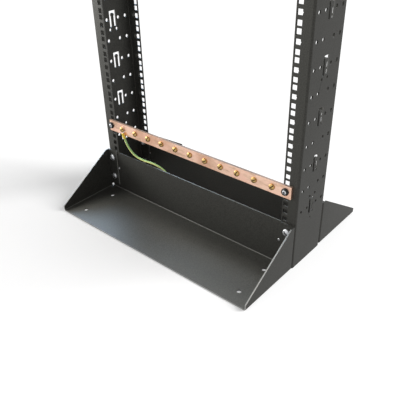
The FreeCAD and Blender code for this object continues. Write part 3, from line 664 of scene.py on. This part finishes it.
def rivet_shape():
    """Round head of a blind rivet with its sunk middle."""
    profile = [(0, -0.0036), (0.0016, -0.0036), (0.0021, -0.0033), (0.0022, -0.0026), (0.0022, 0)]
    profile += [(0.0026, 0), (0.0028, 0.0002)] + arc(0.0018, 0.0004, 0.0010, 10, 60, 4)
    profile += [(0.0014, 0.0014), (0.0012, 0.0008), (0, 0.0007)]
    return lathe(profile, bpy.context.scene.rack_fastener.steps)


def middle_of(node):
    low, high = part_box(node)
    return (low + high) / 2


# Operators, one for each group of pieces

class RACK_OT_posts(bpy.types.Operator):
    """Coat the two folded posts"""

    bl_idname = "rack.posts"
    bl_label = "Posts"

    def execute(self, context):
        radius = context.scene.rack_coat.edge_radius
        for side in ("left", "right"):
            # The walls of the posts' holes get painted shade, so their tone is below zero; their edges and
            # bevels get a weaker painted highlight than the trays'
            softened(f"{side}_post", f"{side}_post_coated", "powder_coat", radius,
                     edge_tone=0.35, bevel_tone=0.35, hole_shade=-0.8)
        return {"FINISHED"}


class RACK_OT_trays(bpy.types.Operator):
    """Coat the two folded base trays and the top crosspiece"""

    bl_idname = "rack.trays"
    bl_label = "Trays and crosspiece"

    def execute(self, context):
        radius = context.scene.rack_coat.edge_radius * TRAY_SOFTNESS
        for node in ("front_base_tray", "rear_base_tray", "top_crosspiece"):
            # Cut edges get the coat's full painted highlight, bevels a faint one
            softened(node, f"{node}_coated", "powder_coat", radius, 2)
        return {"FINISHED"}


class RACK_OT_bar(bpy.types.Operator):
    """Make the copper earth bar"""

    bl_idname = "rack.bar"
    bl_label = "Earth bar"

    def execute(self, context):
        softened("ground_bar", "copper_bar", "drawn_copper", context.scene.rack_metal.bar_edge, 2,
                 edge_width=BAR_EDGE, bevel_tone=0.9)
        return {"FINISHED"}


class RACK_OT_terminal_screws(bpy.types.Operator):
    """Make the slotted brass screws along the bar"""

    bl_idname = "rack.terminal_screws"
    bl_label = "Terminal screws"

    def execute(self, context):
        wish = context.scene.rack_fastener
        height = TERMINAL_HEAD_HEIGHT
        names = sorted(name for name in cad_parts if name.startswith("terminal_screw"))
        for index, node in enumerate(names):
            low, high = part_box(node)
            middle = middle_of(node)
            head = (high.x - low.x) / 2
            shape = screw_shape(head, height, high.y - low.y - height, wish.pitch)
            # Slots stop at odd angles, as those of tightened screws do
            turn = math.radians(118 + (index * 67) % 50)
            cut_slot(shape, wish.slot_width, height * 0.42, head * 2, turn)
            place = seat(middle.x, low.y + height, middle.z, TO_FRONT)
            add_piece(f"brass_{node}", placed(shape, place), "turned_brass", [node])
        return {"FINISHED"}


class RACK_OT_bar_fixings(bpy.types.Operator):
    """Make the bar's end screws, their cup washers and their cage nuts"""

    bl_idname = "rack.bar_fixings"
    bl_label = "Bar fixings"

    def execute(self, context):
        wish = context.scene.rack_fastener
        for side, turn in (("left", 25), ("right", -15)):
            cup = f"{side}_cup_washer"
            middle = middle_of(cup)
            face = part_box(cup)[1].y
            place = seat(middle.x, face, middle.z, TO_FRONT)
            self.add_cup(cup, place, wish)
            self.add_screw(f"{side}_bar_screw", place, face, math.radians(turn), wish)
            self.add_cage(f"{side}_cage_nut", middle.x)
        return {"FINISHED"}

    def add_cup(self, node, place, wish):
        """Cup with a rounded lip and a sunk seat for the screw's head."""
        profile = [(0.0033, 0), (0.0072, 0)] + arc(0.0069, 0.0006, 0.0006, -60, 40, 4)
        profile += arc(0.0058, 0.0034, 0.0006, 35, 120, 5)
        profile += [(0.0047, 0.0032), (0.0044, 0.0010), (0.0033, 0.0010)]
        shape = lathe(profile, wish.steps, ring=True)
        add_piece(f"black_{node}", placed(shape, place), "black_moulding", [node])

    def add_screw(self, node, place, face, turn, wish):
        """Pan head with a cross recess, seated in the cup."""
        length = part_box(node)[1].y - face
        start = -length + 0.0008
        profile = [(0, -length), (0.0022, -length), (SHANK, start)]
        profile += thread(SHANK, start, -0.001, wish.pitch)
        profile += [(SHANK, 0.0011), (0.0041, 0.0011), (0.0043, 0.0014)]
        profile += arc(0.0036, 0.0031, 0.0007, 0, 70, 5)
        profile += [(0.0026, 0.0041), (0.0013, 0.0043), (0, 0.0044)]
        shape = lathe(profile, wish.steps)
        for quarter in (0, 1):
            cut_slot(shape, wish.cross_width, 0.0026, 0.0024, turn + quarter * math.pi / 2)
        # The bar screws take the darkened zinc, a painted shade
        add_piece(f"silver_{node}", placed(shape, place), "dimmed_zinc", [node])

    def add_cage(self, node, across):
        """Square nut with a turned collar, held by strips of spring steel."""
        low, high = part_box(node)
        rear, up = high.y, (low.z + high.z) / 2
        joined = bmesh.new()
        nut = rounded_block((0.0102, 0.0102, 0.0050), 0.0006, 2)
        add_shape(joined, nut, seat(across, rear - 0.0032, up, TO_REAR))
        collar = lathe([(0.0031, 0.0), (0.0048, 0.0), (0.0044, 0.0006), (0.0031, 0.0006)], 32, ring=True)
        add_shape(joined, collar, seat(across, rear - 0.0007, up, TO_REAR))
        cheek = (CAGE_SHEET, 0.0062, 0.0098)
        hook = (CAGE_SHEET, 0.0024, 0.0088)
        bridge = (0.0112, CAGE_SHEET, 0.0012)
        for side in (-1, 1):
            self.add_strip(joined, (across + side * 0.0056, rear - 0.0033, up), cheek)
            self.add_strip(joined, (across + side * 0.0043, low.y + 0.0014, up), hook)
        for side in (1, -1):
            self.add_strip(joined, (across, rear - 0.0062, up + side * 0.0053), bridge)
        add_piece(f"steel_{node}", joined, "spring_steel", [node])

    def add_strip(self, joined, place, size):
        add_shape(joined, rounded_block(size, min(size) * 0.25, 1), Matrix.Translation(place))


class RACK_OT_frame_bolts(bpy.types.Operator):
    """Make the bolts and nuts of the tray corners and of the top crosspiece"""

    bl_idname = "rack.frame_bolts"
    bl_label = "Frame bolts"

    def execute(self, context):
        wish = context.scene.rack_fastener
        bolts = sorted(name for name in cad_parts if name.endswith("_bolts"))
        for index, node in enumerate(bolts):
            self.add_bolts(node, index, wish)
            self.add_nuts(node.replace("_bolts", "_nuts"), wish)
        return {"FINISHED"}

    def spots(self, node, reach):
        """Outer face and end of the rack for both pieces of a node, one above or behind the other."""
        low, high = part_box(node)
        across = (low.x + high.x) / 2
        if "top" in node:
            up = (low.z + high.z) / 2
            return [(across, low.y, up, -1), (across, high.y, up, 1)]
        end = -1 if node.startswith("front") else 1
        face = low.y if end < 0 else high.y
        return [(across, face, low.z + reach, end), (across, face, high.z - reach, end)]

    def add_bolts(self, node, index, wish):
        """Slotted bolts through the crosspiece's lip or the tray's two sheets, and the flange."""
        sheets = 2 if "top" in node else 3
        length = sheets * SHEET + NUT_HEIGHT + BOLT_TAIL
        middle_turn = 58 if "left" in node else 44
        joined = bmesh.new()
        for number, (across, face, up, end) in enumerate(self.spots(node, BOLT_HEAD)):
            shape = screw_shape(BOLT_HEAD, BOLT_HEAD_HEIGHT, length, wish.pitch, 0.3)
            turn = math.radians(middle_turn + (number * 2 - 1) * index * 3)
            cut_slot(shape, wish.slot_width * 1.4, BOLT_HEAD_HEIGHT * 0.45, BOLT_HEAD * 0.72, turn)
            facing = TO_FRONT if end < 0 else TO_REAR
            add_shape(joined, shape, seat(across, face - end * BOLT_HEAD_HEIGHT, up, facing))
        add_piece(f"zinc_{node}", joined, "zinc_plate", [node])

    def add_nuts(self, node, wish):
        """Nuts against the inside of the flanges."""
        joined = bmesh.new()
        for across, face, up, end in self.spots(node, NUT_FLATS / 2):
            facing = TO_REAR if end < 0 else TO_FRONT
            add_shape(joined, nut_shape(wish.pitch), seat(across, face, up, facing))
        add_piece(f"zinc_{node}", joined, "zinc_plate", [node])


class RACK_OT_rivets(bpy.types.Operator):
    """Make the steel rivets in the small holes of the tray walls"""

    bl_idname = "rack.rivets"
    bl_label = "Tray wall rivets"

    def execute(self, context):
        for end, outward, facing in (("front", -1, TO_FRONT), ("rear", 1, TO_REAR)):
            for side, across in (("left", -RIVET_SPAN), ("right", RIVET_SPAN)):
                place = seat(across, outward * WALL_FACE, RIVET_HEIGHT, facing)
                add_piece(f"{end}_{side}_rivet", placed(rivet_shape(), place), "spring_steel", [])
        return {"FINISHED"}


class RACK_OT_earth_lead(bpy.types.Operator):
    """Make the earth wire with its sleeves, ring terminals and stud"""

    bl_idname = "rack.earth_lead"
    bl_label = "Earth lead"

    def execute(self, context):
        wish = context.scene.rack_plastic
        rings = [softened(f"{end}_ring_terminal", f"tinned_{end}_ring", "tin_plate",
                          RING_EDGE) for end in ("bar", "frame")]
        route = [Vector(point) for point in LEAD_ROUTE]
        sleeves = [self.add_sleeve("bar", route[0]), self.add_sleeve("frame", route[-1])]
        self.add_stud(context.scene.rack_fastener)
        wire = self.add_wire(route, wish.wire_diameter)
        return {"FINISHED"}

    def add_sleeve(self, end, mouth):
        """Vinyl sleeve with two crimps, from the ring terminal's neck to its mouth on the wire."""
        profile = [(0, 0.0), (0.0022, 0.0)] + arc(0.0023, 0.0005, 0.0005, -80, 0, 3)
        profile += [(0.00275, 0.0050), (0.0029, 0.0062), (0.0032, 0.0078), (0.0032, 0.0122)]
        profile += arc(0.0027, 0.0125, 0.0005, 0, 90, 4)
        profile += [(0.00245, 0.0128), (0.00245, 0.0122), (0, 0.0122)]
        shape = lathe(profile, bpy.context.scene.rack_fastener.steps)
        coarse = [edge for edge in shape.edges if edge.calc_length() > 0.0015]
        bmesh.ops.subdivide_edges(shape, edges=coarse, cuts=3)
        for vert in shape.verts:
            for level in CRIMPS:
                near = max(0.0, 1 - abs(vert.co.z - level) / CRIMP_REACH)
                if near > 0 and abs(vert.co.x) < 0.0024:
                    vert.co.y *= 1 - 0.14 * near
        lean, rise = SLEEVE_LEANS[end]
        away = Vector((-rise * math.sin(math.radians(lean)), 0, rise * math.cos(math.radians(lean))))
        turn = away.to_track_quat("Z", "Y").to_matrix().to_4x4()
        placed(shape, Matrix.Translation(mouth - away * SLEEVE_LENGTH) @ turn)
        return add_piece(f"yellow_{end}_lead_sleeve", shape, "yellow_vinyl",
                         [f"{end}_lead_sleeve"], 45.0)

    def add_stud(self, wish):
        """Threaded stud on the back of the tray wall, with its nut."""
        low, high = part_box("earth_stud")
        middle = middle_of("earth_stud")
        length = high.y - low.y
        profile = [(0, 0), (SHANK, 0)] + thread(SHANK, 0.001, length - 0.0008, wish.pitch)
        profile += [(0.0023, length), (0, length)]
        nut_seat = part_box("earth_stud_nut")[0].y
        for node, shape, depth in (("earth_stud", lathe(profile, wish.steps), low.y),
                                   ("earth_stud_nut", nut_shape(wish.pitch), nut_seat)):
            place = seat(middle.x, depth, middle.z, TO_REAR)
            add_piece(f"zinc_{node}", placed(shape, place), "zinc_plate", [node])

    def add_wire(self, route, diameter):
        curve = bpy.data.curves.new("earth_wire_skin", "CURVE")
        curve.dimensions = "3D"
        spline = curve.splines.new("NURBS")
        spline.points.add(len(route) - 1)
        for point, place in zip(spline.points, route):
            point.co = (*place, 1.0)
        spline.order_u = 3
        spline.use_endpoint_u = True
        curve.resolution_u = 12
        curve.bevel_depth = diameter / 2
        curve.bevel_resolution = 6
        curve.use_fill_caps = True
        curve.materials.append(finish_named("striped_vinyl"))
        wire = bpy.data.objects.new("earth_wire_skin", curve)
        bpy.context.scene.collection.objects.link(wire)
        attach(wire, BODY)
        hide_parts("earth_wire")
        return wire


class RACK_OT_studio(bpy.types.Operator):
    """Set up the camera, the pale floor and the soft light"""

    bl_idname = "rack.studio"
    bl_label = "Studio"

    def execute(self, context):
        wish = context.scene.rack_studio
        self.add_camera(context.scene, wish)
        floor = self.add_floor(wish)
        self.add_sky(context.scene, wish)
        for name, (place, aim, size, power, colour) in SOFT_LAMPS.items():
            light = bpy.data.lights.new(name, "AREA")
            light.shape = "DISK"
            light.size = size
            light.color = colour
            light.energy = power * wish.lamps
            self.add_lamp(light, place, aim, floor, "EXCLUDE")
        sun = bpy.data.lights.new("floor_sun", "SUN")
        sun.angle = math.radians(SUN_WIDTH)
        sun.energy = wish.sun
        self.add_lamp(sun, SUN_WAY, (0.0, 0.0, 0.0), floor, "INCLUDE")
        context.scene.view_settings.view_transform = "Standard"
        return {"FINISHED"}

    def add_camera(self, scene, wish):
        level = math.cos(wish.rise)
        back = Vector((math.sin(wish.turn) * level, -math.cos(wish.turn) * level, math.sin(wish.rise)))
        right = (-back).cross(Vector((0, 0, 1))).normalized()
        up = right.cross(-back)
        cosine, sine = math.cos(wish.roll), math.sin(wish.roll)
        across = cosine * right + sine * up
        rising = -sine * right + cosine * up
        lens = bpy.data.cameras.new("photo_camera")
        lens.lens = wish.focal_length
        lens.sensor_width = 36.0
        lens.clip_start = 0.01
        camera = bpy.data.objects.new("photo_camera", lens)
        axes = Matrix((across, rising, back)).transposed().to_4x4()
        camera.matrix_world = Matrix.Translation(wish.eye) @ axes
        scene.collection.objects.link(camera)
        scene.camera = camera

    def add_floor(self, wish):
        shape = bmesh.new()
        bmesh.ops.create_grid(shape, x_segments=1, y_segments=1, size=FLOOR_SIZE)
        bmesh.ops.translate(shape, vec=(0, 0, -FLOOR_DROP), verts=shape.verts)
        mesh = bpy.data.meshes.new("studio_floor")
        shape.to_mesh(mesh)
        shape.free()
        board = FinishBoard("studio_floor", Roughness=0.9, Specular_IOR_Level=0.0, Emission_Strength=1.0)
        glow = board.mix(board.seen_directly(), (0, 0, 0), (wish.floor_glow,) * 3)
        toned = board.mix(board.noise(2.0, 2.0) * 0.1, wish.floor_colour, (0.82, 0.82, 0.82))
        board.finish(Base_Color=toned, Emission_Color=glow)
        mesh.materials.append(board.material)
        floor = bpy.data.objects.new("studio_floor", mesh)
        bpy.context.scene.collection.objects.link(floor)
        return floor

    def add_sky(self, scene, wish):
        world = bpy.data.worlds.new("studio_sky")
        world.use_nodes = True
        scene.world = world
        board = Board(world.node_tree)
        sky = world.node_tree.nodes["Background"]
        sky.inputs["Color"].default_value = (1, 1, 1, 1)
        board.feed(sky.inputs["Strength"], board.seen_directly() * (1 - wish.sky) + wish.sky)

    def add_lamp(self, light, place, aim, floor, floor_state):
        """Aim a lamp; it lights everything but the floor, or the floor alone."""
        lamp = bpy.data.objects.new(light.name, light)
        towards = Vector(aim) - Vector(place)
        turn = towards.to_track_quat("-Z", "Y").to_matrix().to_4x4()
        lamp.matrix_world = Matrix.Translation(place) @ turn
        bpy.context.scene.collection.objects.link(lamp)
        lit = bpy.data.collections.new(f"{light.name}_floor")
        lit.objects.link(floor)
        lit.collection_objects[0].light_linking.link_state = floor_state
        lamp.light_linking.receiver_collection = lit


OPERATORS = [RACK_OT_studio, RACK_OT_earth_lead, RACK_OT_posts, RACK_OT_trays, RACK_OT_bar,
             RACK_OT_terminal_screws, RACK_OT_bar_fixings, RACK_OT_frame_bolts, RACK_OT_rivets]


class RACK_PT_panel(bpy.types.Panel):
    """Buttons and settings of the rack"""

    bl_idname = "RACK_PT_panel"
    bl_label = "Two Post Rack"
    bl_space_type = "VIEW_3D"
    bl_region_type = "UI"
    bl_category = "Rack"

    def draw(self, context):
        for operator in OPERATORS:
            self.layout.operator(operator.bl_idname)
        for group_name, group in GROUPS.items():
            box = self.layout.box()
            for name in group.__annotations__:
                box.prop(getattr(context.scene, group_name), name)


CLASSES = [*GROUPS.values(), *OPERATORS, RACK_PT_panel]


def register():
    for kind in CLASSES:
        bpy.utils.register_class(kind)
    for name, group in GROUPS.items():
        setattr(bpy.types.Scene, name, PointerProperty(type=group))


def unregister():
    for name in GROUPS:
        delattr(bpy.types.Scene, name)
    for kind in reversed(CLASSES):
        bpy.utils.unregister_class(kind)


def main():
    register()
    for operator in OPERATORS:
        group, name = operator.bl_idname.split(".")
        getattr(getattr(bpy.ops, group), name)()


if __name__ == "__main__":
    main()
